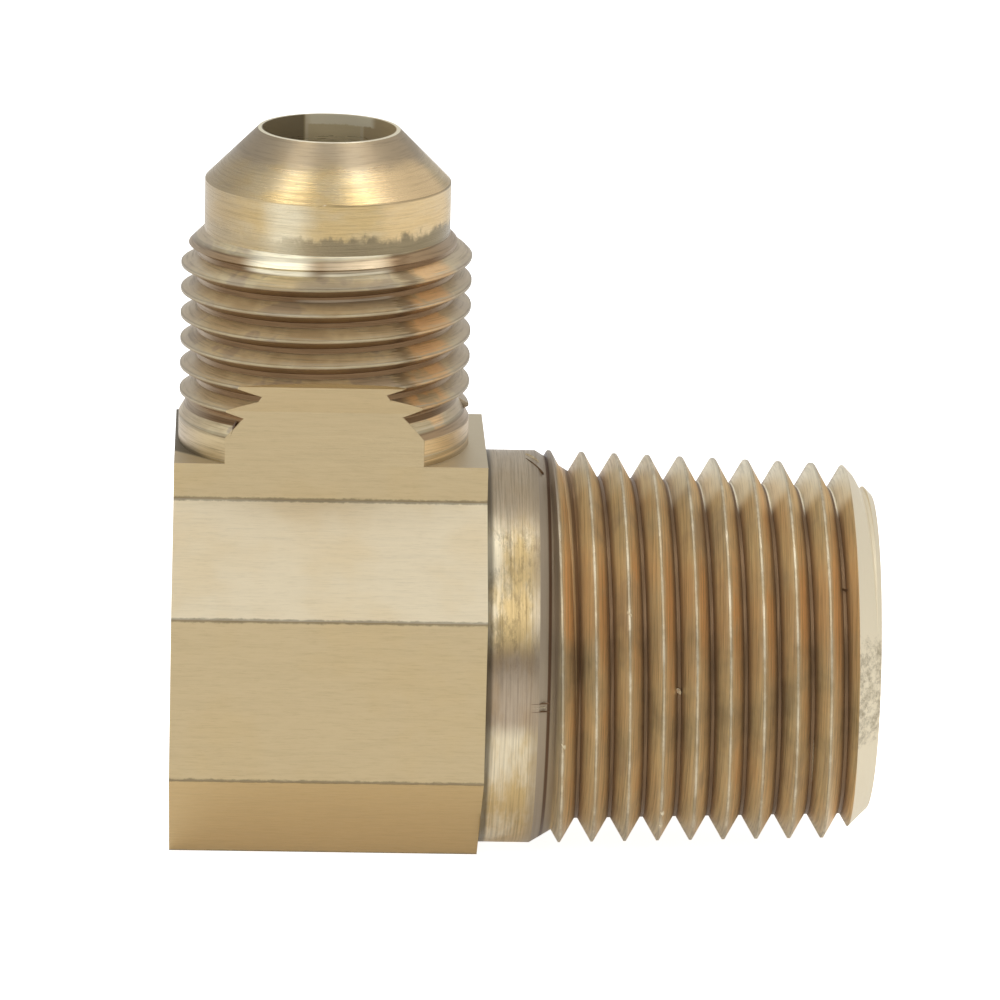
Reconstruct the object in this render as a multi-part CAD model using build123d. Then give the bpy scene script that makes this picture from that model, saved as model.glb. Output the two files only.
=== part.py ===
from build123d import *
import math
import os

# A brass 90 degree male elbow: a 45 degree flare end for 3/8 in tube, and a 1/2-14 taper pipe end.
# The two axes cross at the origin. +Z leaves through the flare end, +X leaves through the pipe end,
# and the wrench flats face +Y and -Y. All sizes are in millimetres.
# The fitting is one piece of metal. Each zone that is machined in its own way is a solid of its own,
# and neighbouring zones meet face to face.

INCH = 25.4

# Extruded bar: outline in Y and Z, run along X
bar_left_x = -8.1            # sawn back face
bar_right_x = 8.85           # faced shoulder behind the pipe neck
flats_across = 22.2          # 7/8 in between the wrench flats
flat_top_z = 4.4             # upper edge of a wrench flat
flat_bottom_z = -4.6         # lower edge of a wrench flat
base_half_width = 3.3        # half of the flat underside
base_z = -11.05
tongue_half_width = 5.85     # the upright tongue that carries the flare end
waist_z = 9.7                # where the upper slopes meet the tongue
tongue_lean_z = 14.6         # where the tongue starts to spread
tongue_lean_deg = 20.0
head_corner_z = 16.1         # where the tongue turns out into the wide head
head_corner_width = 1.0
head_z = 16.6                # underside of the wide head that the thread is cut from

# Flare end, about Z
shoulder_z = 11.67           # turned face under the flare thread
flare_tip_z = 29.0
flare_major_d = 15.8         # 5/8-18, over the crests
flare_pitch = INCH / 18
flare_land_height = 1.43     # plain land between the shoulder and the thread
flare_crest_drop = 2.65      # from the top of the thread down to a crest that passes over +X
flare_runout_deg = 30.0      # slope from the land down to the thread root
thread_lead_deg = 45.0       # lead-in chamfer at the top of the flare thread
pilot_step = 0.36            # the pilot is this much inside the thread root
pilot_height = 2.77          # plain cylinder between the thread and the cone
cone_half_angle_deg = 45.0
flare_rim = 0.22             # flat rim between the bore and the cone
flare_bore_d = 7.25

# Pipe end, about X
neck_length = 2.85
pipe_end_x = 30.3
pipe_pitch = INCH / 14
pipe_end_major_d = 20.55     # over the crests, in the plane of the pipe end
pipe_taper = 1 / 16          # on the diameter
pipe_crest_gap = 0.85        # from the end of the neck to a crest that passes over +Z
pipe_runout_deg = 30.0       # slope from the neck down to the thread root
end_chamfer_deg = 45.0
pipe_face_d = 17.4           # flat end face, inside the chamfer
pipe_bore_d = 17 / 32 * INCH
drill_point_deg = 118.0
pipe_bore_floor_x = 0.0      # full bore reaches the flare axis

# Thread forms
flank_deg = 30.0
flare_depth = 0.6134 * flare_pitch
flare_crest_flat = 0.1 * flare_pitch
pipe_depth = 0.73 * pipe_pitch
pipe_crest_flat = 0.06 * pipe_pitch
ridge_sink = 0.12            # how far a ridge's foot reaches into its core
land_relief = 0.03           # a flare land stands this much above the crests, a pipe neck below them
overrun = 1.0                # how far a cutting shape reaches past the metal

# Dependent sizes
flare_crest_r = flare_major_d / 2
flare_root_r = flare_crest_r - flare_depth
flare_land_r = flare_crest_r + land_relief
flare_land_top_z = shoulder_z + flare_land_height
flare_bore_r = flare_bore_d / 2
pilot_r = flare_root_r - pilot_step
tip_r = flare_bore_r + flare_rim
cone_base_z = flare_tip_z - (pilot_r - tip_r) / math.tan(math.radians(cone_half_angle_deg))
pilot_bottom_z = cone_base_z - pilot_height
neck_end_x = bar_right_x + neck_length
pipe_slope = pipe_taper / 2
pipe_taper_deg = math.degrees(math.atan(pipe_slope))
pipe_face_r = pipe_face_d / 2
pipe_bore_r = pipe_bore_d / 2
drill_point_length = pipe_bore_r / math.tan(math.radians(drill_point_deg / 2))


def pipe_crest_r(x):
    """Crest radius of the taper thread at a distance along X."""
    return pipe_end_major_d / 2 + (pipe_end_x - x) * pipe_slope


def pipe_root_r(x):
    """Root radius of the taper thread at a distance along X."""
    return pipe_crest_r(x) - pipe_depth


neck_r = pipe_crest_r(neck_end_x) - land_relief


def turned(profile):
    """A solid of revolution about Z from a closed list of (radius, height)."""
    outline = Plane.XZ * Polyline(*profile, close=True)
    return revolve(make_face(outline), Axis.Z)


def ridge_turn(pitch, start_z, crest_r, depth, crest_flat, taper_deg):
    """One turn of a right-hand ridge about Z, its crest centred on start_z over +X where it starts."""
    foot_r = crest_r - depth - ridge_sink
    foot_half = crest_flat / 2 + (crest_r - foot_r) * math.tan(math.radians(flank_deg))
    slope = math.tan(math.radians(taper_deg))
    slant_pitch = pitch / math.cos(math.radians(taper_deg))
    rails = []
    for radius, offset in (
        (foot_r, -foot_half),
        (crest_r, -crest_flat / 2),
        (crest_r, crest_flat / 2),
        (foot_r, foot_half),
    ):
        rail_foot = (0, 0, start_z + offset)
        rail_r = radius + slope * offset
        rails.append(Edge.make_helix(slant_pitch, pitch, rail_r, rail_foot, (0, 0, 1), taper_deg))
    sides = []
    caps = ([], [])
    for i, rail in enumerate(rails):
        following = rails[(i + 1) % len(rails)]
        sides.append(Face.make_surface_from_curves(rail, following))
        for end, cap in enumerate(caps):
            cap.append(Edge.make_line(rail @ end, following @ end))
    return Solid(Shell(sides + [Face(Wire(cap)) for cap in caps]))


def threaded(core, pitch, start_z, turns, crest_r, depth, crest_flat, taper_deg=0.0):
    """A core with a ridge of whole turns fused to it; the ridge's foot is sunk in the core."""
    slope = math.tan(math.radians(taper_deg))
    ridge = []
    for turn in range(turns):
        rise = turn * pitch
        ridge.append(ridge_turn(pitch, start_z + rise, crest_r + slope * rise, depth, crest_flat, taper_deg))
    return core.fuse(*ridge)


def turns_to_clear(start, end, pitch):
    """How many whole turns from start leave the last crest beyond end all the way round."""
    return math.ceil((end - start) / pitch) + 1


def bar_outline():
    """The bar's section: an octagon-like body, an upright tongue, and a head wider than the thread."""
    head_half = flare_land_r + overrun
    head_top = flare_tip_z + overrun
    lean = (head_corner_z - tongue_lean_z) * math.tan(math.radians(tongue_lean_deg))
    corner_half = tongue_half_width + lean
    half = [
        (0, base_z),
        (base_half_width, base_z),
        (flats_across / 2, flat_bottom_z),
        (flats_across / 2, flat_top_z),
        (tongue_half_width, waist_z),
        (tongue_half_width, tongue_lean_z),
        (corner_half, head_corner_z),
        (corner_half + head_corner_width, head_z),
        (head_half, head_z),
        (head_half, head_top),
        (0, head_top),
    ]
    right = make_face(Plane.YZ * Polyline(*half, close=True))
    return right + mirror(right, Plane.XZ)


def bar(left_x, right_x):
    """The extruded bar between two stations along X."""
    return extrude(Pos(left_x, 0, 0) * bar_outline(), right_x - left_x, dir=(1, 0, 0))


def waterway():
    """Both drillings, meeting at the origin."""
    flare_top = flare_tip_z + overrun
    rise = Cylinder(flare_bore_r, flare_top, align=(Align.CENTER, Align.CENTER, Align.MIN))
    run = turned([
        (0, pipe_bore_floor_x - drill_point_length),
        (pipe_bore_r, pipe_bore_floor_x),
        (pipe_bore_r, pipe_end_x + overrun),
        (0, pipe_end_x + overrun),
    ])
    return rise + Rot(0, 90, 0) * run


def elbow_block():
    """The bar's body, from the underside up to the turned shoulder."""
    length = bar_right_x - bar_left_x
    below_shoulder = Pos(bar_left_x, 0, base_z) * Box(
        length, 2 * flats_across, shoulder_z - base_z, align=(Align.MIN, Align.CENTER, Align.MIN)
    )
    return bar(bar_left_x, bar_right_x) & below_shoulder - waterway()


def flare_thread():
    """The plain land and the 5/8-18 thread, with the bar's tongue flats left on the lower turns."""
    foot_z = flare_land_top_z + (flare_land_r - flare_root_r) / math.tan(math.radians(flare_runout_deg))
    core = turned([
        (flare_bore_r, shoulder_z),
        (flare_land_r, shoulder_z),
        (flare_land_r, flare_land_top_z),
        (flare_root_r, foot_z),
        (flare_root_r, pilot_bottom_z),
        (flare_bore_r, pilot_bottom_z),
    ])
    crest_z = pilot_bottom_z - flare_crest_drop
    start = crest_z - round((crest_z - flare_land_top_z) / flare_pitch) * flare_pitch
    turns = turns_to_clear(start, pilot_bottom_z, flare_pitch)
    screw = threaded(core, flare_pitch, start, turns, flare_crest_r, flare_depth, flare_crest_flat)
    outside = flare_crest_r + overrun
    lead = (outside - pilot_r) / math.tan(math.radians(thread_lead_deg))
    envelope = turned([
        (0, shoulder_z),
        (outside, shoulder_z),
        (outside, pilot_bottom_z - lead),
        (pilot_r, pilot_bottom_z),
        (0, pilot_bottom_z),
    ])
    return screw & envelope & bar(-outside, outside)


def flare_nose():
    """The plain pilot and the 45 degree seat for the flared tube."""
    return turned([
        (flare_bore_r, pilot_bottom_z),
        (pilot_r, pilot_bottom_z),
        (pilot_r, cone_base_z),
        (tip_r, flare_tip_z),
        (flare_bore_r, flare_tip_z),
    ])


def pipe_neck():
    """The turned neck between the block and the pipe thread."""
    neck = turned([
        (pipe_bore_r, bar_right_x),
        (neck_r, bar_right_x),
        (neck_r, neck_end_x),
        (pipe_bore_r, neck_end_x),
    ])
    return Rot(0, 90, 0) * neck


def pipe_thread():
    """The taper thread, run out into the neck and chamfered at the open end."""
    runout = math.tan(math.radians(pipe_runout_deg))
    foot_x = neck_end_x + (neck_r - pipe_root_r(neck_end_x)) / runout
    core = turned([
        (pipe_bore_r, neck_end_x),
        (neck_r, neck_end_x),
        (pipe_root_r(foot_x), foot_x),
        (pipe_root_r(pipe_end_x), pipe_end_x),
        (pipe_bore_r, pipe_end_x),
    ])
    # Laying the thread along X turns its start from +X to -Z, half a turn away from +Z.
    start = neck_end_x + pipe_crest_gap - pipe_pitch / 2
    turns = turns_to_clear(start, pipe_end_x, pipe_pitch)
    screw = threaded(
        core, pipe_pitch, start, turns, pipe_crest_r(start), pipe_depth, pipe_crest_flat, -pipe_taper_deg
    )
    outside = neck_r + overrun
    chamfer = (outside - pipe_face_r) / math.tan(math.radians(end_chamfer_deg))
    envelope = turned([
        (0, neck_end_x),
        (neck_r, neck_end_x),
        (outside, neck_end_x + overrun / runout),
        (outside, pipe_end_x - chamfer),
        (pipe_face_r, pipe_end_x),
        (0, pipe_end_x),
    ])
    return Rot(0, 90, 0) * (screw & envelope)


def write(node, shape):
    """One STEP file for one node."""
    export_step(shape, f"parts/{node}.step")
    print(node, round(shape.volume, 1))


os.makedirs("parts", exist_ok=True)
for make in (elbow_block, flare_thread, flare_nose, pipe_neck, pipe_thread):
    write(make.__name__, make())
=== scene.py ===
import math

import bpy
from mathutils import Matrix, Vector


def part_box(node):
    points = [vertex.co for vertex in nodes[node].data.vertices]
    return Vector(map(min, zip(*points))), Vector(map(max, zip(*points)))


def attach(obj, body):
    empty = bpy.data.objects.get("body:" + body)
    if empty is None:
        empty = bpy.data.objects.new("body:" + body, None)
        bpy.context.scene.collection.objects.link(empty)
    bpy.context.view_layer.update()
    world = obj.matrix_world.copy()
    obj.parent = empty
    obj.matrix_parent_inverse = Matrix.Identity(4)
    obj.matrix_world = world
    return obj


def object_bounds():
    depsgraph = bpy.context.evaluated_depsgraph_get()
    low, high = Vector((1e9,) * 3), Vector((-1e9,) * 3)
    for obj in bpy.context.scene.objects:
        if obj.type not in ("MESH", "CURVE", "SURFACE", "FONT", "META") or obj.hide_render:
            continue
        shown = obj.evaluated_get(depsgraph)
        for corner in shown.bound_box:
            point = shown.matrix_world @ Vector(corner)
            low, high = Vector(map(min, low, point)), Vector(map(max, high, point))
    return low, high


MM = 0.001
INCH = 25.4

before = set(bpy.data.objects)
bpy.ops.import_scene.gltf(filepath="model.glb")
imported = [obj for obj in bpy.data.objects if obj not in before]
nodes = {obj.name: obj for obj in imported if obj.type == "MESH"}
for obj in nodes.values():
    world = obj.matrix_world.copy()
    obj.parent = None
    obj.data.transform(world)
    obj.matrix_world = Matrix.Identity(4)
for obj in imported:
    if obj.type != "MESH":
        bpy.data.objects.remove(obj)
cad_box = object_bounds()
low, high = Vector(cad_box[0]), Vector(cad_box[1])


def node_range(name, axis):
    """Where a node starts and ends along an axis of the row frame, in millimetres."""
    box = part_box(name)
    return box[0][axis] / MM, box[1][axis] / MM


BAR_RIGHT = node_range("elbow_block", 0)[1]
BASE_Z, SHOULDER_Z = node_range("elbow_block", 2)
FLAT_Y = node_range("elbow_block", 1)[1]
PILOT_BOTTOM, TIP_Z = node_range("flare_nose", 2)
NECK_END, PIPE_END = node_range("pipe_thread", 0)
NECK_R = node_range("pipe_neck", 1)[1]
PILOT_R = node_range("flare_nose", 1)[1]

# Sizes of the CAD model that the boxes do not give, in millimetres. First the edges of the extruded
# bar, as (distance from the middle plane, height).
TONGUE_EDGE = (5.85, 9.7)
UPPER_EDGE = (FLAT_Y, 4.4)
LOWER_EDGE = (FLAT_Y, -4.6)
BASE_EDGE = (3.3, BASE_Z)

TONGUE_LEAN_Z = 14.6
TONGUE_LEAN_SLOPE = math.tan(math.radians(20.0))
HEAD_CORNER_Z = 16.1
HEAD_CORNER_SLOPE = 2.0
HEAD_Z = 16.6

FLARE_PITCH = INCH / 18
FLARE_CREST_DROP = 2.65              # from the top of the thread down to a crest over +X
FLARE_LAND_TOP = SHOULDER_Z + 1.45   # just above the plain land
FLARE_BORE_R = 3.625
CONE_BASE = PILOT_BOTTOM + 2.77

PIPE_PITCH = INCH / 14
PIPE_DEPTH = 0.73 * PIPE_PITCH
PIPE_SLOPE = 1 / 32                  # the crest radius lost per length
PIPE_CREST_GAP = 0.85                # from the end of the neck to a crest over +Z
PIPE_END_CREST_R = 20.55 / 2
PIPE_BORE_R = 17 / 64 * INCH
PIPE_FACE_R = 8.7
DRILL_TIP_X = -4.1                   # just beyond the drill point of the pipe bore


def pipe_crest_r(x):
    """Crest radius of the taper thread at a distance along X."""
    return PIPE_END_CREST_R + (PIPE_END - x) * PIPE_SLOPE


# ---- Node helpers -------------------------------------------------------------------------------

def srgb(red, green, blue):
    """A colour given in ordinary screen values, as the linear values that a shader takes."""
    values = []
    for level in (red, green, blue):
        share = level / 255
        values.append(share / 12.92 if share <= 0.04045 else ((share + 0.055) / 1.055) ** 2.4)
    return (*values, 1.0)


class Shader:
    """A small wrapper that adds nodes to one material and links them."""

    def __init__(self, name):
        self.material = bpy.data.materials.new(name)
        self.material.use_nodes = True
        self.tree = self.material.node_tree
        self.tree.nodes.clear()

    def add(self, kind, **settings):
        """A new node with its settings."""
        node = self.tree.nodes.new(kind)
        for key, value in settings.items():
            setattr(node, key, value)
        return node

    def link(self, value, socket):
        """Feeds a socket from another socket, or sets it to a constant."""
        if isinstance(value, bpy.types.NodeSocket):
            self.tree.links.new(value, socket)
        else:
            socket.default_value = value

    def math(self, operation, a, b=0.0, c=0.0):
        """One step of arithmetic on sockets or numbers."""
        node = self.add("ShaderNodeMath", operation=operation)
        for value, socket in zip((a, b, c), node.inputs):
            self.link(value, socket)
        return node.outputs[0]

    def times(self, *values):
        """The product of all the values."""
        product = values[0]
        for value in values[1:]:
            product = self.math("MULTIPLY", product, value)
        return product

    def ramp(self, value, low_edge, high_edge, start=0.0, end=1.0):
        """start below low_edge, end above high_edge, smooth between them."""
        node = self.add("ShaderNodeMapRange", interpolation_type="SMOOTHSTEP")
        self.link(value, node.inputs["Value"])
        node.inputs["From Min"].default_value = low_edge
        node.inputs["From Max"].default_value = high_edge
        node.inputs["To Min"].default_value = start
        node.inputs["To Max"].default_value = end
        return node.outputs["Result"]

    def band(self, value, centre, half, soft):
        """1 within half of centre, fading to 0 over soft."""
        away = self.math("ABSOLUTE", self.math("SUBTRACT", value, centre))
        return self.ramp(away, half, half + soft, 1.0, 0.0)

    def mix(self, factor, a, b):
        """Blends two colours."""
        node = self.add("ShaderNodeMix", data_type="RGBA")
        self.link(factor, node.inputs[0])
        self.link(a, node.inputs[6])
        self.link(b, node.inputs[7])
        return node.outputs[2]

    def mix_value(self, factor, a, b):
        """Blends two numbers."""
        node = self.add("ShaderNodeMix", data_type="FLOAT")
        for value, socket in zip((factor, a, b), (node.inputs[0], node.inputs[2], node.inputs[3])):
            self.link(value, socket)
        return node.outputs[0]

    def shade(self, colour, factor, amount):
        """Multiplies a colour by amount, a grey level, where factor is 1."""
        node = self.add("ShaderNodeMix", data_type="RGBA", blend_type="MULTIPLY")
        self.link(factor, node.inputs[0])
        self.link(colour, node.inputs[6])
        node.inputs[7].default_value = (amount, amount, amount, 1.0)
        return node.outputs[2]

    def vector(self, x, y, z):
        """Three numbers as one vector."""
        node = self.add("ShaderNodeCombineXYZ")
        for value, socket in zip((x, y, z), node.inputs):
            self.link(value, socket)
        return node.outputs[0]

    def noise(self, x, y, z, scale=1.0, detail=3.0, roughness=0.55):
        """Noise around 0.5 at a point whose axes may be stretched."""
        node = self.add("ShaderNodeTexNoise")
        self.link(self.vector(x, y, z), node.inputs["Vector"])
        node.inputs["Scale"].default_value = scale
        node.inputs["Detail"].default_value = detail
        node.inputs["Roughness"].default_value = roughness
        return node.outputs["Fac"]

    def place(self):
        """The row frame's X, Y and Z in millimetres, as three sockets."""
        coords = self.add("ShaderNodeTexCoord")
        scaled = self.add("ShaderNodeVectorMath", operation="SCALE")
        self.link(coords.outputs["Object"], scaled.inputs[0])
        scaled.inputs["Scale"].default_value = 1 / MM
        split = self.add("ShaderNodeSeparateXYZ")
        self.link(scaled.outputs[0], split.inputs[0])
        return split.outputs[0], split.outputs[1], split.outputs[2]

    def facing(self):
        """The true normal's X and Z."""
        split = self.add("ShaderNodeSeparateXYZ")
        self.link(self.add("ShaderNodeNewGeometry").outputs["True Normal"], split.inputs[0])
        return split.outputs[0], split.outputs[2]

    def length(self, a, b):
        """The length of a step of a one way and b the other."""
        return self.math("SQRT", self.math("ADD", self.times(a, a), self.times(b, b)))

    def distance(self, a, b, point):
        """How far (a, b) lies from a fixed point of the same plane."""
        return self.length(self.math("SUBTRACT", a, point[0]), self.math("SUBTRACT", b, point[1]))

    def finish(self, colour, roughness, height, bump, metallic=1.0):
        """The metal itself, with a bump of the given height in metres."""
        metal = self.add("ShaderNodeBsdfPrincipled")
        output = self.add("ShaderNodeOutputMaterial")
        self.link(colour, metal.inputs["Base Color"])
        self.link(roughness, metal.inputs["Roughness"])
        self.link(metallic, metal.inputs["Metallic"])
        relief = self.add("ShaderNodeBump")
        relief.inputs["Strength"].default_value = 1.0
        relief.inputs["Distance"].default_value = bump
        self.link(height, relief.inputs["Height"])
        self.link(relief.outputs[0], metal.inputs["Normal"])
        self.link(metal.outputs[0], output.inputs["Surface"])
        return self.material


# ---- Brass --------------------------------------------------------------------------------------

CREAM = srgb(230, 217, 188)
PALE = srgb(218, 205, 177)
IVORY = srgb(252, 243, 214)
TAN = srgb(205, 185, 146)
GOLD = srgb(206, 180, 130)
DEEP_GOLD = srgb(240, 210, 162)
ORANGE = srgb(244, 198, 140)
OLIVE = srgb(224, 208, 168)
GREY_BROWN = srgb(188, 171, 147)
GREY = srgb(160, 145, 124)
PLUM = srgb(152, 130, 112)
BROWN = srgb(176, 148, 114)
UMBER = srgb(128, 102, 74)
DARK = srgb(96, 72, 52)
STAIN = srgb(146, 132, 104)


def bar_brass():
    """Extruded faces with fine drawn lines along X, dark edges, and turned or sawn end faces."""
    s = Shader("bar_brass")
    x, y, z = s.place()
    nx, nz = s.facing()
    side = s.math("ABSOLUTE", y)
    drawn, fine = drawn_lines(s, x, y, z)
    clouds = s.noise(x, y, z, 0.22, 3.0)
    # Painted light and shade: faces turned upwards are painted paler, faces turned downwards darker gold
    colour = s.mix(s.ramp(nz, 0.2, 0.5), TAN, PALE)
    colour = s.mix(s.ramp(nz, -0.2, -0.5), colour, GOLD)
    colour = s.mix(s.times(s.ramp(clouds, 0.45, 0.7), 0.25), colour, GOLD)
    colour = s.shade(colour, s.ramp(drawn, 0.42, 0.7), 0.94)
    colour = s.shade(colour, s.ramp(fine, 0.5, 0.75), 0.92)
    sawn = s.noise(x, s.times(y, 0.15), s.times(z, 4.0), 1.0, 4.0, 0.7)
    colour = s.shade(colour, s.times(s.ramp(nx, -0.8, -0.9), s.ramp(sawn, 0.4, 0.62)), 0.78)
    faced = s.noise(0.0, 0.0, s.times(s.length(y, z), 5.0), 1.0, 3.0, 0.6)
    colour = s.shade(colour, s.times(s.ramp(nx, 0.8, 0.9), s.ramp(faced, 0.42, 0.6)), 0.82)
    turned = s.times(s.ramp(z, SHOULDER_Z - 0.03, SHOULDER_Z - 0.02), s.ramp(nz, 0.8, 0.9))
    # Painted reflection: the right half of the turned shoulder is painted plain and pale
    colour = s.mix(s.times(turned, s.ramp(x, 0.0, 1.0)), colour, PALE)
    # The front left corner of the shoulder stays bright, and the rest of its left half lies in shade
    shade_slant, shade_start, shade_full = 1.08, -11.8, -11.3
    shadow = s.ramp(s.math("ADD", x, s.times(y, shade_slant)), shade_start, shade_full)
    colour = s.shade(colour, s.times(turned, shadow, s.ramp(x, 0.0, -1.0)), 0.3)
    height = s.math("ADD", drawn, fine)
    ragged = s.times(s.math("SUBTRACT", s.noise(x, y, z, 2.5, 3.0, 0.7), 0.4), 0.25)
    edge = 0.0
    for corner in (TONGUE_EDGE, UPPER_EDGE, LOWER_EDGE, BASE_EDGE):
        away = s.math("ADD", s.distance(side, z, corner), ragged)
        edge = s.math("MAXIMUM", edge, s.ramp(away, 0.08, 0.2, 1.0, 0.0))
    edge = s.times(edge, s.ramp(clouds, 0.2, 0.6, 0.7, 1.0))
    colour = s.shade(colour, edge, 0.5)
    # Inside the bores: an olive tint, darkened further as painted shade
    rise = s.times(s.ramp(s.length(x, y), FLARE_BORE_R, FLARE_BORE_R + 0.05, 1.0, 0.0), s.ramp(z, 0.0, 0.1))
    run = s.ramp(s.length(y, z), PIPE_BORE_R, PIPE_BORE_R + 0.05, 1.0, 0.0)
    inside = s.math("MAXIMUM", rise, s.times(run, s.ramp(x, DRILL_TIP_X - 0.1, DRILL_TIP_X)))
    colour = s.mix(inside, colour, OLIVE)
    colour = s.shade(colour, inside, 0.45)
    return s.finish(colour, s.ramp(fine, 0.3, 0.7, 0.42, 0.52), height, 0.006 * MM)


def tongue_flat(s, y, z):
    """1 on the tongue's flats, which lean outwards near their top."""
    lean = s.math("MAXIMUM", s.math("SUBTRACT", z, TONGUE_LEAN_Z), 0.0)
    half = s.math("ADD", s.times(lean, TONGUE_LEAN_SLOPE), TONGUE_EDGE[0])
    corner = s.math("MAXIMUM", s.math("SUBTRACT", z, HEAD_CORNER_Z), 0.0)
    half = s.math("ADD", half, s.times(corner, HEAD_CORNER_SLOPE - TONGUE_LEAN_SLOPE))
    inside = s.math("SUBTRACT", half, s.math("ABSOLUTE", y))
    return s.times(s.ramp(inside, 0.02, 0.04, 1.0, 0.0), s.ramp(z, HEAD_Z, HEAD_Z + 0.02, 1.0, 0.0))


def drawn_lines(s, x, y, z):
    """The fine lines that the extrusion die leaves along X."""
    broad = s.noise(s.times(x, 0.06), y, z, 5.0, 6.0, 0.75)
    fine = s.noise(s.times(x, 0.25), s.times(y, 3.0), s.times(z, 3.0), 4.0, 3.0, 0.8)
    return broad, fine


def around(s, a, b):
    """The distance of a point from an axis, and its direction from there as a step of 1."""
    radius = s.length(a, b)
    return radius, s.math("DIVIDE", a, radius), s.math("DIVIDE", b, radius)


def from_crest(s, along, angle, crest_at, crest_angle, pitch):
    """How far a point lies from the nearest crest of a right-hand thread, in pitches, -0.5 to 0.5."""
    turn = s.math("DIVIDE", s.math("SUBTRACT", angle, crest_angle), 2 * math.pi)
    rise = s.math("DIVIDE", s.math("SUBTRACT", along, crest_at), pitch)
    phase = s.math("ADD", s.math("SUBTRACT", rise, turn), 0.5)
    return s.math("SUBTRACT", s.math("FRACT", s.math("ADD", phase, 100.0)), 0.5)


def front_angle(s, down, across):
    """The angle round an axis, 0 towards -Y, in degrees."""
    return s.times(s.math("ARCTAN2", across, s.times(down, -1.0)), 180 / math.pi)


def near_side(s, front):
    """1 on the side that faces -Y, fading to 0 at the back, where a mask by angle would leave a seam."""
    return s.ramp(s.math("ABSOLUTE", front), 120.0, 165.0, 1.0, 0.0)


def flare_thread_brass():
    """Painted highlights near the crests and on the lead-in, painted shade in the roots, on the lower flanks
    and at the foot, painted reflections on the sides, a paler land, and the bar's own flats.
    """
    s = Shader("flare_thread_brass")
    x, y, z = s.place()
    cx, cy = around(s, x, y)[1:]
    crest = from_crest(s, z, s.math("ARCTAN2", y, x), PILOT_BOTTOM - FLARE_CREST_DROP, 0.0, FLARE_PITCH)
    away = s.math("ABSOLUTE", crest)
    front = front_angle(s, cy, cx)
    near = near_side(s, front)
    streak = s.noise(s.times(cx, 1.5), s.times(cy, 1.5), s.times(z, 9.0), 1.6, 4.0, 0.7)
    patch = s.noise(s.times(cx, 3.0), s.times(cy, 3.0), s.times(z, 0.7), 1.0, 3.0, 0.6)
    colour = s.mix(s.ramp(patch, 0.4, 0.6), TAN, OLIVE)
    colour = s.mix(s.times(s.ramp(patch, 0.54, 0.62), 0.8), colour, GREY_BROWN)
    # Painted warm reflection on the right side, broken by patches
    colour = s.mix(s.times(s.band(front, 48.0, 8.0, 7.0), s.ramp(patch, 0.4, 0.5), 0.8), colour, ORANGE)
    # Painted highlight on the upper flank just above each crest, broken by streaks
    wear_and_sheen = s.times(s.band(crest, 0.1, 0.03, 0.06), s.ramp(streak, 0.45, 0.6, 0.0, 0.5))
    colour = s.mix(wear_and_sheen, colour, CREAM)
    # Painted shade on the lower flanks and in the roots
    colour = s.mix(s.ramp(crest, 0.0, -0.06), colour, BROWN)
    colour = s.mix(s.ramp(away, 0.38, 0.42), colour, UMBER)
    lead = s.ramp(z, PILOT_BOTTOM - 1.2, PILOT_BOTTOM - 1.0)
    second = s.times(s.band(z, PILOT_BOTTOM - 1.9, 0.5, 0.4), s.band(front, 8.0, 18.0, 6.0))
    colour = s.mix(s.times(second, s.ramp(crest, 0.0, 0.05), 0.7), colour, GREY)
    land = s.ramp(z, FLARE_LAND_TOP + 0.05, FLARE_LAND_TOP - 0.05)
    colour = s.mix(land, colour, s.mix(s.times(s.ramp(front, 0.0, 10.0), near), TAN, DEEP_GOLD))
    # Painted shadow at the foot of the thread, where it meets the shoulder on the right half
    foot = s.ramp(z, SHOULDER_Z + 0.35, SHOULDER_Z + 0.15)
    colour = s.shade(colour, s.times(foot, s.ramp(front, 0.0, 1.0), near), 0.5)
    wander = s.times(s.math("SUBTRACT", streak, 0.5), 24.0)
    colour = s.mix(s.times(s.band(s.math("ADD", front, wander), 34.0, 1.0, 5.0), 0.6), colour, UMBER)
    # Painted grey reflection towards the sides and the back
    colour = s.mix(s.ramp(s.math("ABSOLUTE", front), 50.0, 75.0, 0.0, 0.7), colour, GREY_BROWN)
    # Painted highlights on the lead-in, left of the front and right of it
    colour = s.mix(s.times(lead, s.band(front, -22.0, 8.0, 12.0)), colour, IVORY)
    lead_right = s.times(lead, s.band(front, 12.0, 10.0, 10.0), s.ramp(crest, 0.0, 0.05, 0.3, 0.7))
    colour = s.mix(lead_right, colour, IVORY)
    glint = s.times(s.band(crest, 0.07, 0.04, 0.05), s.ramp(streak, 0.5, 0.65, 0.0, 0.6))
    colour = s.mix(glint, s.shade(colour, s.band(crest, 0.0, 0.06, 0.04), 0.7), CREAM)
    colour = s.shade(colour, s.ramp(streak, 0.45, 0.7), 0.72)
    threaded = s.ramp(z, FLARE_LAND_TOP - 0.05, FLARE_LAND_TOP + 0.05)
    upper = s.times(s.band(crest, 0.2, 0.18, 0.04), threaded)
    metallic = s.ramp(upper, 0.0, 1.0, 1.0, 0.6)
    flat = tongue_flat(s, y, z)
    drawn, fine = drawn_lines(s, x, y, z)
    skin = s.shade(TAN, s.ramp(drawn, 0.42, 0.7), 0.94)
    skin = s.shade(skin, s.ramp(fine, 0.5, 0.75), 0.92)
    colour = s.mix(flat, colour, skin)
    metallic = s.math("MAXIMUM", metallic, flat)
    roughness = s.math("ADD", s.ramp(streak, 0.3, 0.7, 0.30, 0.42), s.times(flat, 0.1))
    return s.finish(colour, roughness, s.mix_value(flat, streak, fine), 0.012 * MM, metallic)


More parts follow.
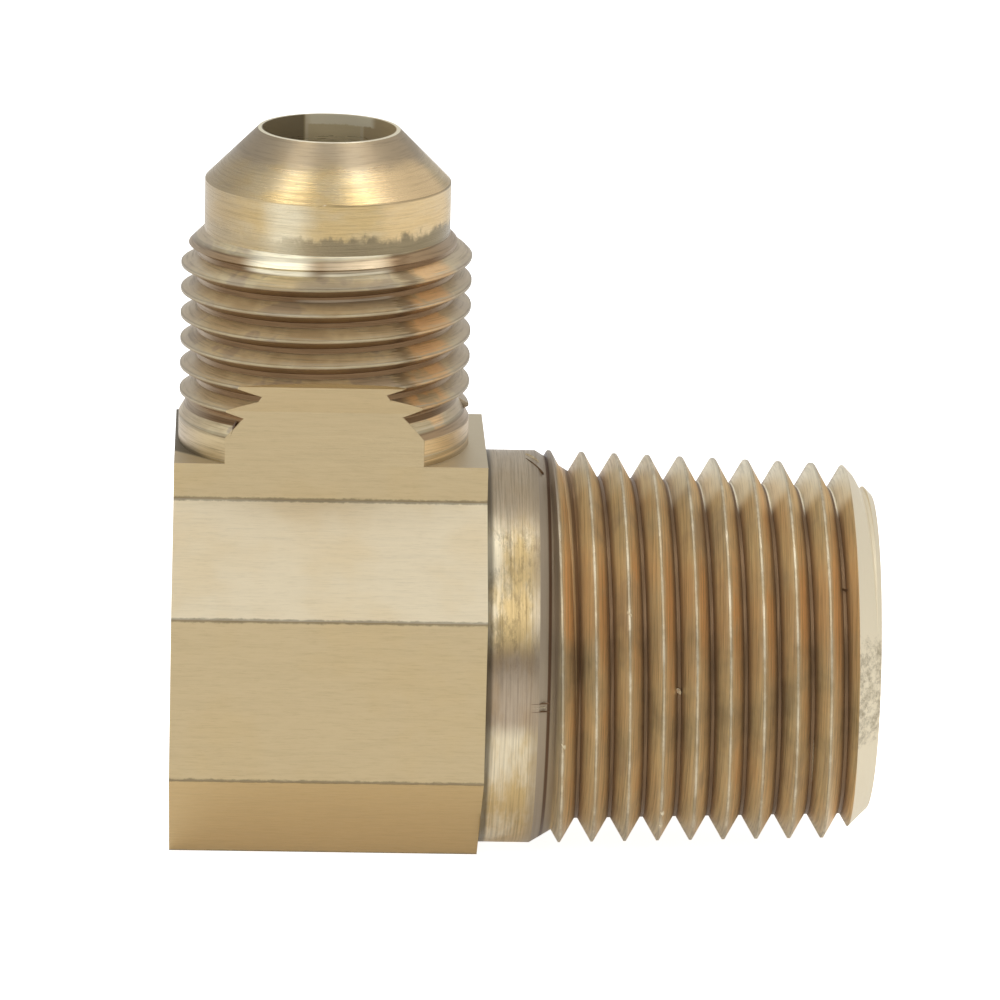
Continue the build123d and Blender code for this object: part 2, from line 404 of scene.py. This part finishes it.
def nose_brass():
    """Fine turned streaks, a painted warm reflection on the right side, a painted highlight and a painted
    grey reflection on the left, a stained foot, a grey cone tip and a patchy bore with painted shade and a
    painted highlight.
    """
    s = Shader("nose_brass")
    x, y, z = s.place()
    radius, cx, cy = around(s, x, y)
    front = front_angle(s, cy, cx)
    streak = s.noise(s.times(cx, 1.0), s.times(cy, 1.0), s.times(z, 7.0), 2.0, 4.0, 0.7)
    patch = s.noise(s.times(cx, 2.2), s.times(cy, 2.2), s.times(z, 0.9), 1.0, 3.0, 0.6)
    colour = s.mix(s.ramp(patch, 0.35, 0.65), GOLD, TAN)
    # Painted warm reflection on the right side
    warm = s.times(s.band(front, 48.0, 16.0, 12.0), s.ramp(z, CONE_BASE - 0.1, CONE_BASE, 0.4, 1.0))
    colour = s.mix(warm, colour, DEEP_GOLD)
    # Painted highlight down the left of the pilot, below the cone
    pale = s.times(s.band(front, -20.0, 2.0, 14.0), s.ramp(z, CONE_BASE, CONE_BASE - 0.1, 0.0, 0.6))
    colour = s.mix(pale, colour, IVORY)
    near = near_side(s, front)
    # Painted grey reflection on the left side
    colour = s.mix(s.times(s.ramp(front, -30.0, -60.0, 0.0, 0.5), near), colour, GREY)
    rim = s.ramp(s.math("ADD", z, s.times(patch, 0.8)), TIP_Z - 1.3, TIP_Z - 0.5, 0.0, 0.75)
    colour = s.mix(rim, colour, GREY)
    ragged = s.noise(s.times(cx, 9.0), s.times(cy, 9.0), s.times(z, 0.8), 1.0, 4.0, 0.7)
    foot = s.ramp(s.math("SUBTRACT", z, s.times(ragged, 2.0)), PILOT_BOTTOM + 0.1, PILOT_BOTTOM - 0.4)
    foot = s.times(foot, near, s.ramp(front, -35.0, 5.0, 0.2, 1.0))
    colour = s.mix(foot, colour, STAIN)
    shoulder = s.times(s.band(z, CONE_BASE, 0.03, 0.05), s.ramp(front, -5.0, 5.0), near)
    colour = s.shade(colour, shoulder, 0.6)
    colour = s.shade(colour, s.ramp(streak, 0.45, 0.7), 0.8)
    colour = s.mix(s.ramp(z, TIP_Z - 0.02, TIP_Z - 0.01), colour, IVORY)
    bore = s.ramp(radius, FLARE_BORE_R + 0.02, FLARE_BORE_R + 0.06, 1.0, 0.0)
    back = s.times(s.math("ARCTAN2", cx, cy), 180 / math.pi)  # 0 on the bore's far wall
    patina_and_shade = s.mix(s.band(back, 5.3, 26.0, 2.0), TAN, OLIVE)
    patina_and_shade = s.mix(s.times(s.ramp(back, -19.0, -23.0), near_side(s, back)), patina_and_shade, STAIN)
    seam = s.math("MAXIMUM", s.band(back, -19.0, 0.8, 1.2), s.band(back, 30.0, 0.8, 1.2))
    patina_and_shade = s.mix(s.times(seam, 0.7), patina_and_shade, CREAM)
    # Painted shade: the bore grows darker further down
    patina_and_shade = s.shade(patina_and_shade, s.ramp(z, TIP_Z - 0.9, TIP_Z - 2.5), 0.6)
    # Painted highlight: a thin bright arc along the top of the far wall
    lip = s.ramp(s.math("ADD", z, s.times(ragged, 0.3)), TIP_Z - 0.45, TIP_Z - 0.35)
    lip = s.times(lip, s.band(back, 12.0, 26.0, 8.0))
    colour = s.mix(bore, colour, s.mix(lip, patina_and_shade, IVORY))
    roughness = s.math("MAXIMUM", s.ramp(streak, 0.3, 0.7, 0.24, 0.32), s.times(rim, 0.5))
    return s.finish(colour, roughness, streak, 0.01 * MM, s.ramp(bore, 0.0, 1.0, 1.0, 0.5))


def neck_brass():
    """Turned streaks with a painted dark reflection along the front, a painted grey reflection towards the
    top, a painted shadow against the block, and a greyer end at the thread.
    """
    s = Shader("neck_brass")
    x, y, z = s.place()
    radius, cy, cz = around(s, y, z)
    front = front_angle(s, cy, cz)
    streak = s.noise(s.times(x, 5.0), cy, cz, 2.0, 5.0, 0.7)
    patch = s.noise(s.times(x, 0.6), s.times(cy, 2.5), s.times(cz, 2.5), 1.0, 4.0, 0.6)
    blotch = s.noise(s.times(x, 1.5), s.times(cy, 6.0), s.times(cz, 6.0), 1.0, 5.0, 0.8)
    colour = s.mix(s.ramp(patch, 0.35, 0.65), CREAM, GOLD)
    colour = s.shade(colour, s.times(s.ramp(blotch, 0.48, 0.62), s.band(front, 30.0, 18.0, 8.0)), 0.7)
    # Painted dark reflection: a dull plum band along the front
    colour = s.mix(s.times(s.band(front, 3.0, 8.0, 8.0), 0.7), colour, PLUM)
    # Painted grey reflection towards the top
    colour = s.mix(s.ramp(cz, 0.74, 0.88, 0.0, 0.8), colour, GREY_BROWN)
    colour = s.shade(colour, s.ramp(streak, 0.42, 0.68), 0.72)
    # Painted shadow where the neck meets the block
    colour = s.shade(colour, s.ramp(x, BAR_RIGHT + 0.45, BAR_RIGHT + 0.2), 0.35)
    colour = s.mix(s.ramp(x, NECK_END - 0.7, NECK_END - 0.1, 0.0, 0.6), colour, GREY)
    bore = s.ramp(radius, PIPE_BORE_R, PIPE_BORE_R + 0.06, 1.0, 0.0)
    colour = s.mix(bore, colour, OLIVE)
    return s.finish(colour, s.ramp(streak, 0.3, 0.7, 0.3, 0.42), streak, 0.02 * MM)


def pipe_thread_brass():
    """Painted highlights along the crests and on the top crests, painted light and shade on the flanks,
    painted shade in the roots, patches of orange, a grey run-out and a speckled end chamfer.
    """
    s = Shader("pipe_thread_brass")
    x, y, z = s.place()
    radius, cy, cz = around(s, y, z)
    turn = s.math("ARCTAN2", z, y)
    crest = from_crest(s, x, turn, NECK_END + PIPE_CREST_GAP, math.pi / 2, PIPE_PITCH)
    away = s.math("ABSOLUTE", crest)
    front = front_angle(s, cy, cz)
    streak = s.noise(s.times(x, 6.0), cy, cz, 2.0, 5.0, 0.7)
    hair = s.noise(s.times(x, 20.0), s.times(cy, 2.0), s.times(cz, 2.0), 1.0, 3.0, 0.7)
    patch = s.noise(s.times(x, 0.35), s.times(cy, 2.0), s.times(cz, 2.0), 1.0, 4.0, 0.6)
    dots = s.noise(s.times(x, 0.5), s.times(cy, 5.0), s.times(cz, 5.0), 1.0, 5.0, 0.75)
    # Painted light and shade: left flanks olive, right flanks gold, with orange patches mostly on the right
    # flanks
    colour = s.mix(s.ramp(crest, -0.05, 0.05), OLIVE, DEEP_GOLD)
    colour = s.mix(s.times(s.ramp(patch, 0.45, 0.65), s.ramp(crest, 0.1, 0.25, 0.2, 0.8)), colour, ORANGE)
    colour = s.mix(s.times(s.ramp(patch, 0.46, 0.34), 0.5), colour, GREY_BROWN)
    # Painted warm highlight on the right flanks, right of the front
    warm = s.times(s.band(front, 30.0, 8.0, 16.0), s.ramp(crest, 0.05, 0.15))
    warm = s.times(warm, s.ramp(patch, 0.4, 0.5, 0.4, 1.0))
    colour = s.mix(warm, colour, ORANGE)
    colour = s.mix(s.times(s.ramp(hair, 0.45, 0.65), 0.45), colour, BROWN)
    # Painted shade towards the roots
    colour = s.mix(s.ramp(away, 0.28, 0.44), colour, BROWN)
    colour = s.mix(s.ramp(away, 0.42, 0.46), colour, UMBER)
    # Painted highlight on the left flanks of the top crests, away from the neck
    pale = s.times(s.ramp(cz, 0.93, 0.985), s.ramp(crest, 0.05, -0.05))
    colour = s.mix(s.times(pale, s.ramp(x, NECK_END + 5.0, NECK_END + 11.0)), colour, IVORY)
    # Painted highlight beside each crest, in dots, while the crest flat itself is painted darker
    line = s.times(s.ramp(away, 0.03, 0.15, 1.0, 0.0), s.ramp(dots, 0.42, 0.66, 0.2, 0.9))
    colour = s.mix(line, s.shade(colour, s.ramp(away, 0.03, 0.06, 1.0, 0.0), 0.62), CREAM)
    colour = s.shade(colour, s.ramp(streak, 0.42, 0.68), 0.72)
    # Painted dark reflection: a dull band along the front, broken by patches
    colour = s.shade(colour, s.times(s.band(front, 2.0, 12.0, 14.0), s.ramp(patch, 0.55, 0.4)), 0.82)
    runout = s.ramp(x, NECK_END + 1.15, NECK_END + 0.95)
    colour = s.mix(runout, colour, GREY)
    colour = s.mix(s.band(x, NECK_END + 0.55, 0.05, 0.08), colour, DARK)
    end = s.ramp(s.math("ADD", x, radius), PIPE_END + PIPE_FACE_R - 0.06, PIPE_END + PIPE_FACE_R - 0.02)
    end = s.math("MAXIMUM", end, s.ramp(x, PIPE_END - 1.05, PIPE_END - 1.0))
    speckle = s.times(s.noise(x, y, z, 1.6, 5.0, 0.8), s.band(front, 2.0, 14.0, 16.0))
    # On the end chamfer this is wear: cream with stain speckles
    wear_and_sheen = s.mix(s.ramp(speckle, 0.38, 0.66, 0.0, 0.8), CREAM, STAIN)
    colour = s.mix(end, colour, wear_and_sheen)
    face = s.shade(CREAM, s.ramp(s.noise(x, y, z, 1.2, 5.0, 0.7), 0.45, 0.65), 0.88)
    colour = s.mix(s.ramp(x, PIPE_END - 0.02, PIPE_END - 0.01), colour, face)
    bore = s.ramp(radius, PIPE_BORE_R, PIPE_BORE_R + 0.06, 1.0, 0.0)
    colour = s.mix(bore, colour, OLIVE)
    metallic = s.ramp(s.math("MAXIMUM", end, pale), 0.0, 1.0, 0.75, 0.35)
    return s.finish(colour, s.ramp(streak, 0.3, 0.7, 0.33, 0.45), streak, 0.02 * MM, metallic)


def mark_brass(name, colour, other):
    """A nick that has darkened, or a burr that has been rubbed bright; the same two finishes also make a
    painted shadow and a painted glint.
    """
    s = Shader(name)
    x, y, z = s.place()
    grain = s.noise(x, y, z, 4.0, 4.0, 0.7)
    mixed = s.mix(s.ramp(grain, 0.4, 0.6), colour, other)
    roughness = s.ramp(grain, 0.3, 0.7, 0.3, 0.5)
    metallic = s.ramp(grain, 0.4, 0.6, 0.3, 0.5)
    return s.finish(mixed, roughness, grain, 0.02 * MM, metallic)


MATERIALS = {
    "elbow_block": bar_brass(),
    "flare_thread": flare_thread_brass(),
    "flare_nose": nose_brass(),
    "pipe_neck": neck_brass(),
    "pipe_thread": pipe_thread_brass(),
}
for node_name, material in MATERIALS.items():
    for slot in nodes[node_name].material_slots:
        slot.material = material

edges = nodes["elbow_block"].modifiers.new("broken edges", "BEVEL")
edges.width = 0.1 * MM
edges.segments = 2
edges.limit_method = "ANGLE"
edges.angle_limit = math.radians(30)


# ---- Nicks and burrs, with a painted shadow and a painted glint ---------------------------------

def on_pipe(x, angle, radius):
    """A point and its outward direction on a cylinder about X; the angle is 0 towards -Y and 90 upwards."""
    turn = math.radians(angle)
    outward = Vector((0.0, -math.cos(turn), math.sin(turn)))
    return Vector((x, 0.0, 0.0)) + outward * radius, outward


def on_nose(z, angle, radius):
    """A point and its outward direction on a cylinder about Z; the angle is 0 towards -Y."""
    turn = math.radians(angle)
    outward = Vector((math.sin(turn), -math.cos(turn), 0.0))
    return Vector((0.0, 0.0, z)) + outward * radius, outward


def on_tongue(x, z, distance):
    """A point and its outward direction on the front flat of the tongue."""
    return Vector((x, -distance, z)), Vector((0.0, -1.0, 0.0))


def sliver(name, surface, start, end, radius, width, height, material):
    """A thin ridge, blunt at both ends, between two places on a surface; its foot is sunk in the metal."""
    steps, sunk = 10, 0.12
    spots = []
    for i in range(steps + 1):
        t = i / steps
        spots.append(surface(start[0] + (end[0] - start[0]) * t, start[1] + (end[1] - start[1]) * t, radius))
    along = (spots[-1][0] - spots[0][0]).normalized()
    points, faces = [], []
    for i, (spot, outward) in enumerate(spots):
        swell = 0.15 + 0.85 * math.sin(math.pi * i / steps) ** 0.5
        side = outward.cross(along).normalized() * width / 2 * swell
        foot = spot - outward * sunk
        points += [foot - side, foot + side, spot + outward * height * swell]
    for i in range(steps):
        a, b = 3 * i, 3 * i + 3
        for j in range(3):
            k = (j + 1) % 3
            faces.append((a + j, b + j, b + k, a + k))
    faces += [(2, 1, 0), (3 * steps, 3 * steps + 1, 3 * steps + 2)]
    mesh = bpy.data.meshes.new(name)
    mesh.from_pydata([p * MM for p in points], [], faces)
    mesh.validate()
    mesh.materials.append(material)
    piece = bpy.data.objects.new(name, mesh)
    bpy.context.scene.collection.objects.link(piece)
    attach(piece, "root")


dark = mark_brass("darkened_nick_and_shadow", DARK, UMBER)
bright = mark_brass("rubbed_burr_and_glint", IVORY, CREAM)

# On the neck: distances from its end towards the thread, and angles about X
for name, start, end, width, height, material in (
    # A dark sliver as a painted shadow under the chip beside it
    ("neck_chip_shadow", (-0.62, 88), (0.3, 77), 0.24, 0.05, dark),
    ("neck_lip", (-0.6, 93), (0.1, 85), 0.26, 0.09, bright),
    ("neck_scratch_a", (-0.45, -0.6), (0.6, -0.4), 0.1, 0.03, dark),
    ("neck_scratch_b", (-0.4, -3.0), (0.6, -2.8), 0.1, 0.03, dark),
    # A bright sliver as a painted glint
    ("neck_glint", (-0.4, -1.8), (0.4, -1.6), 0.1, 0.01, bright),
):
    start = (NECK_END + start[0], start[1])
    end = (NECK_END + end[0], end[1])
    sliver(name, on_pipe, start, end, NECK_R, width, height, material)

# Short burrs on the pipe thread: distance along X, angle about X, and depth below the crest
for label, x, angle, depth in (
    ("a", 13.1, -13.7, 0.0),
    ("b", 16.5, 26.0, 0.0),
    ("c", 18.7, -41.7, 0.0),
    ("d", 18.7, -49.5, 0.0),
    ("e", 28.9, 9.5, 0.75),
    ("f", 19.3, 2.0, 1.1),
):
    start, end = (x - 0.1, angle + 1.0), (x + 0.1, angle - 1.0)
    radius = pipe_crest_r(x) - depth
    sliver("thread_burr_" + label, on_pipe, start, end, radius, 0.22, 0.08, bright)

# In the roots of the pipe thread
for name, start, end, width, height, material in (
    ("root_burr", (26.75, -16), (26.85, -36), 0.14, 0.12, bright),
    ("root_nick", (28.1, 38), (28.5, 37), 0.2, 0.2, dark),
):
    root_r = pipe_crest_r((start[0] + end[0]) / 2) - PIPE_DEPTH
    sliver(name, on_pipe, start, end, root_r, width, height, material)

# On the edge between the pilot and the cone: distances from that edge, and angles about Z
for name, start, end, width, height, material in (
    ("nose_nick", (-0.1, -6.0), (0.0, -3.5), 0.14, 0.02, dark),
    ("nose_burr", (-0.02, -3.3), (0.04, -1.5), 0.12, 0.03, bright),
):
    start = (CONE_BASE + start[0], start[1])
    end = (CONE_BASE + end[0], end[1])
    sliver(name, on_nose, start, end, PILOT_R, width, height, material)

cut_start, cut_end = (-4.78, 14.05), (-5.1, 13.16)
sliver("land_cut", on_tongue, cut_start, cut_end, TONGUE_EDGE[0], 0.14, 0.02, dark)


# ---- Floor, light and camera --------------------------------------------------------------------

def floor_white():
    """White paper that glows, three times as strongly for the camera as for the metal."""
    s = Shader("floor_white")
    paper = s.add("ShaderNodeBsdfDiffuse")
    paper.inputs["Color"].default_value = srgb(235, 235, 235)
    glow = s.add("ShaderNodeEmission")
    seen = s.add("ShaderNodeLightPath").outputs["Is Camera Ray"]
    s.link(s.math("MULTIPLY_ADD", seen, 0.6, 0.3), glow.inputs["Strength"])
    both = s.add("ShaderNodeAddShader")
    s.link(paper.outputs[0], both.inputs[0])
    s.link(glow.outputs[0], both.inputs[1])
    output = s.add("ShaderNodeOutputMaterial")
    s.link(both.outputs[0], output.inputs["Surface"])
    return s.material


def floor():
    """A wide square sheet at the height of the fitting's underside."""
    half = 1.5
    mesh = bpy.data.meshes.new("floor")
    corners = [(-half, -half, 0), (half, -half, 0), (half, half, 0), (-half, half, 0)]
    mesh.from_pydata(corners, [], [(0, 1, 2, 3)])
    piece = bpy.data.objects.new("floor", mesh)
    piece.location.z = low.z
    mesh.materials.append(floor_white())
    bpy.context.scene.collection.objects.link(piece)


def softbox(name, direction, distance, wide, tall, watts):
    """A rectangular area light, seen from the fitting in the given direction; sizes in metres."""
    middle = (low + high) / 2
    where = middle + Vector(direction).normalized() * distance
    light = bpy.data.lights.new(name, "AREA")
    light.shape = "RECTANGLE"
    light.size = wide
    light.size_y = tall
    light.energy = watts
    lamp = bpy.data.objects.new(name, light)
    lamp.location = where
    lamp.rotation_euler = (middle - where).to_track_quat("-Z", "Y").to_euler()
    bpy.context.scene.collection.objects.link(lamp)


def studio():
    """An even white tent, slightly dimmer beyond the fitting and darkest at the horizon behind the camera."""
    world = bpy.data.worlds.new("studio")
    bpy.context.scene.world = world
    world.use_nodes = True
    tree = world.node_tree
    tree.nodes.clear()

    def node(kind, **settings):
        """A new world node with its settings."""
        made = tree.nodes.new(kind)
        for key, value in settings.items():
            setattr(made, key, value)
        return made

    def ramp(value, low_edge, high_edge, start, end):
        """start below low_edge, end above high_edge, smooth between them."""
        made = node("ShaderNodeMapRange", interpolation_type="SMOOTHSTEP")
        tree.links.new(value, made.inputs["Value"])
        limits = {"From Min": low_edge, "From Max": high_edge, "To Min": start, "To Max": end}
        for key, limit in limits.items():
            made.inputs[key].default_value = limit
        return made.outputs["Result"]

    def times(a, b):
        """The product of two sockets."""
        made = node("ShaderNodeMath", operation="MULTIPLY")
        tree.links.new(a, made.inputs[0])
        tree.links.new(b, made.inputs[1])
        return made.outputs[0]

    coords = node("ShaderNodeTexCoord")
    split = node("ShaderNodeSeparateXYZ")
    tree.links.new(coords.outputs["Generated"], split.inputs[0])
    depth, height = split.outputs[1], split.outputs[2]
    away = node("ShaderNodeMath", operation="ABSOLUTE")
    tree.links.new(height, away.inputs[0])
    low_sky = ramp(away.outputs[0], 0.15, 0.4, 1.0, 0.0)
    dim = times(low_sky, ramp(depth, -0.8, -0.4, 0.65, 0.0))
    keep = node("ShaderNodeMath", operation="SUBTRACT")
    keep.inputs[0].default_value = 1.0
    tree.links.new(dim, keep.inputs[1])
    behind = ramp(depth, 0.0, 0.6, 0.75, 0.65)
    background = node("ShaderNodeBackground")
    tree.links.new(times(keep.outputs[0], behind), background.inputs["Strength"])
    background.inputs["Color"].default_value = (1.0, 1.0, 1.0, 1.0)
    output = node("ShaderNodeOutputWorld")
    tree.links.new(background.outputs[0], output.inputs["Surface"])


def camera():
    """A long lens, a little above the fitting and slightly to its left, with a small roll."""
    elevation, swing, roll = math.radians(15.1), math.radians(2.31), math.radians(1.51)
    distance = 0.383
    aim = (low + high) / 2 + Vector((-1.34, 0.0, -0.66)) * MM
    look = Vector((
        math.sin(swing) * math.cos(elevation), math.cos(swing) * math.cos(elevation), -math.sin(elevation)
    ))
    side = look.cross(Vector((0, 0, 1))).normalized()
    above = side.cross(look)
    right = side * math.cos(roll) + above * math.sin(roll)
    up = above * math.cos(roll) - side * math.sin(roll)
    lens = bpy.data.cameras.new("camera")
    lens.sensor_width = 36.0
    frame_width = 54.89 * MM
    lens.lens = lens.sensor_width * distance / frame_width
    lens.clip_start = 0.01
    eye = bpy.data.objects.new("camera", lens)
    turn = Matrix((right, up, -look)).transposed()
    eye.matrix_world = Matrix.Translation(aim - look * distance) @ turn.to_4x4()
    bpy.context.scene.collection.objects.link(eye)
    bpy.context.scene.camera = eye


floor()
studio()
softbox("left_strip", (-0.42, -0.13, 0.90), 0.6, 0.07, 0.3, 0.26)
softbox("right_strip", (0.39, -0.17, 0.91), 0.6, 0.09, 0.3, 0.36)
softbox("front_top", (0.0, -0.8, 0.6), 0.7, 0.5, 0.25, 0.55)
camera()
bpy.context.scene.view_settings.view_transform = "Standard"
